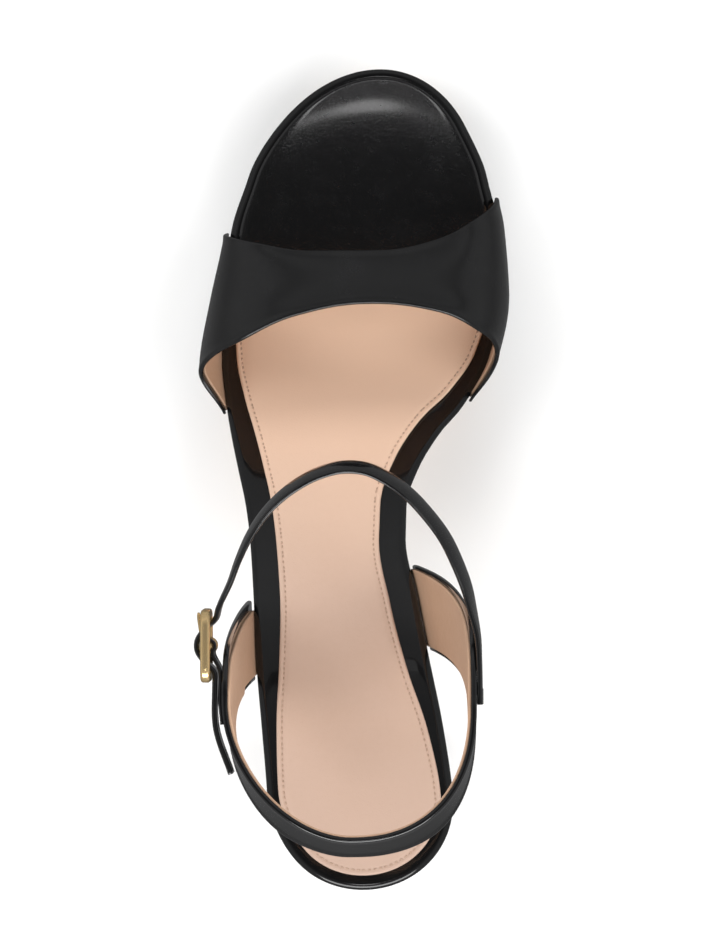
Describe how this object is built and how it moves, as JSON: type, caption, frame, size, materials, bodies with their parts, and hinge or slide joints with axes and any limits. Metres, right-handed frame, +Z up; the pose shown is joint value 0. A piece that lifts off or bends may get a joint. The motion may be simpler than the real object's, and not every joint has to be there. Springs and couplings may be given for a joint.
{
  "type": "platform heeled sandal",
  "caption": "Left platform sandal in black patent leather, with a block heel, a wide front strap, a back strap and a buckled ankle strap.",
  "frame": {"origin": "on the floor, at the middle of the heel's tread", "axes": "+X to the big-toe side, +Y to the toe, +Z up"},
  "size_m": [0.0853, 0.2245, 0.1579],
  "materials": {
    "black_patent": "high gloss patent",
    "sock_leather": "smooth matt leather",
    "outsole_leather": "smooth sealed leather",
    "heel_rubber": "matt rubber",
    "buckle_gold": "polished gold plate"
  },
  "bodies": {
    "root": {"outsole": "outsole_leather", "platform": "black_patent", "footbed": "black_patent", "sock": "sock_leather", "toe_sock": "black_patent", "heel": "black_patent", "heel_tip": "heel_rubber", "vamp_strap": "black_patent", "back_strap": "black_patent", "ankle_strap": "black_patent", "buckle_tab": "black_patent", "buckle_frame": "buckle_gold", "buckle_prong": "buckle_gold"}
  },
  "joints": []
}
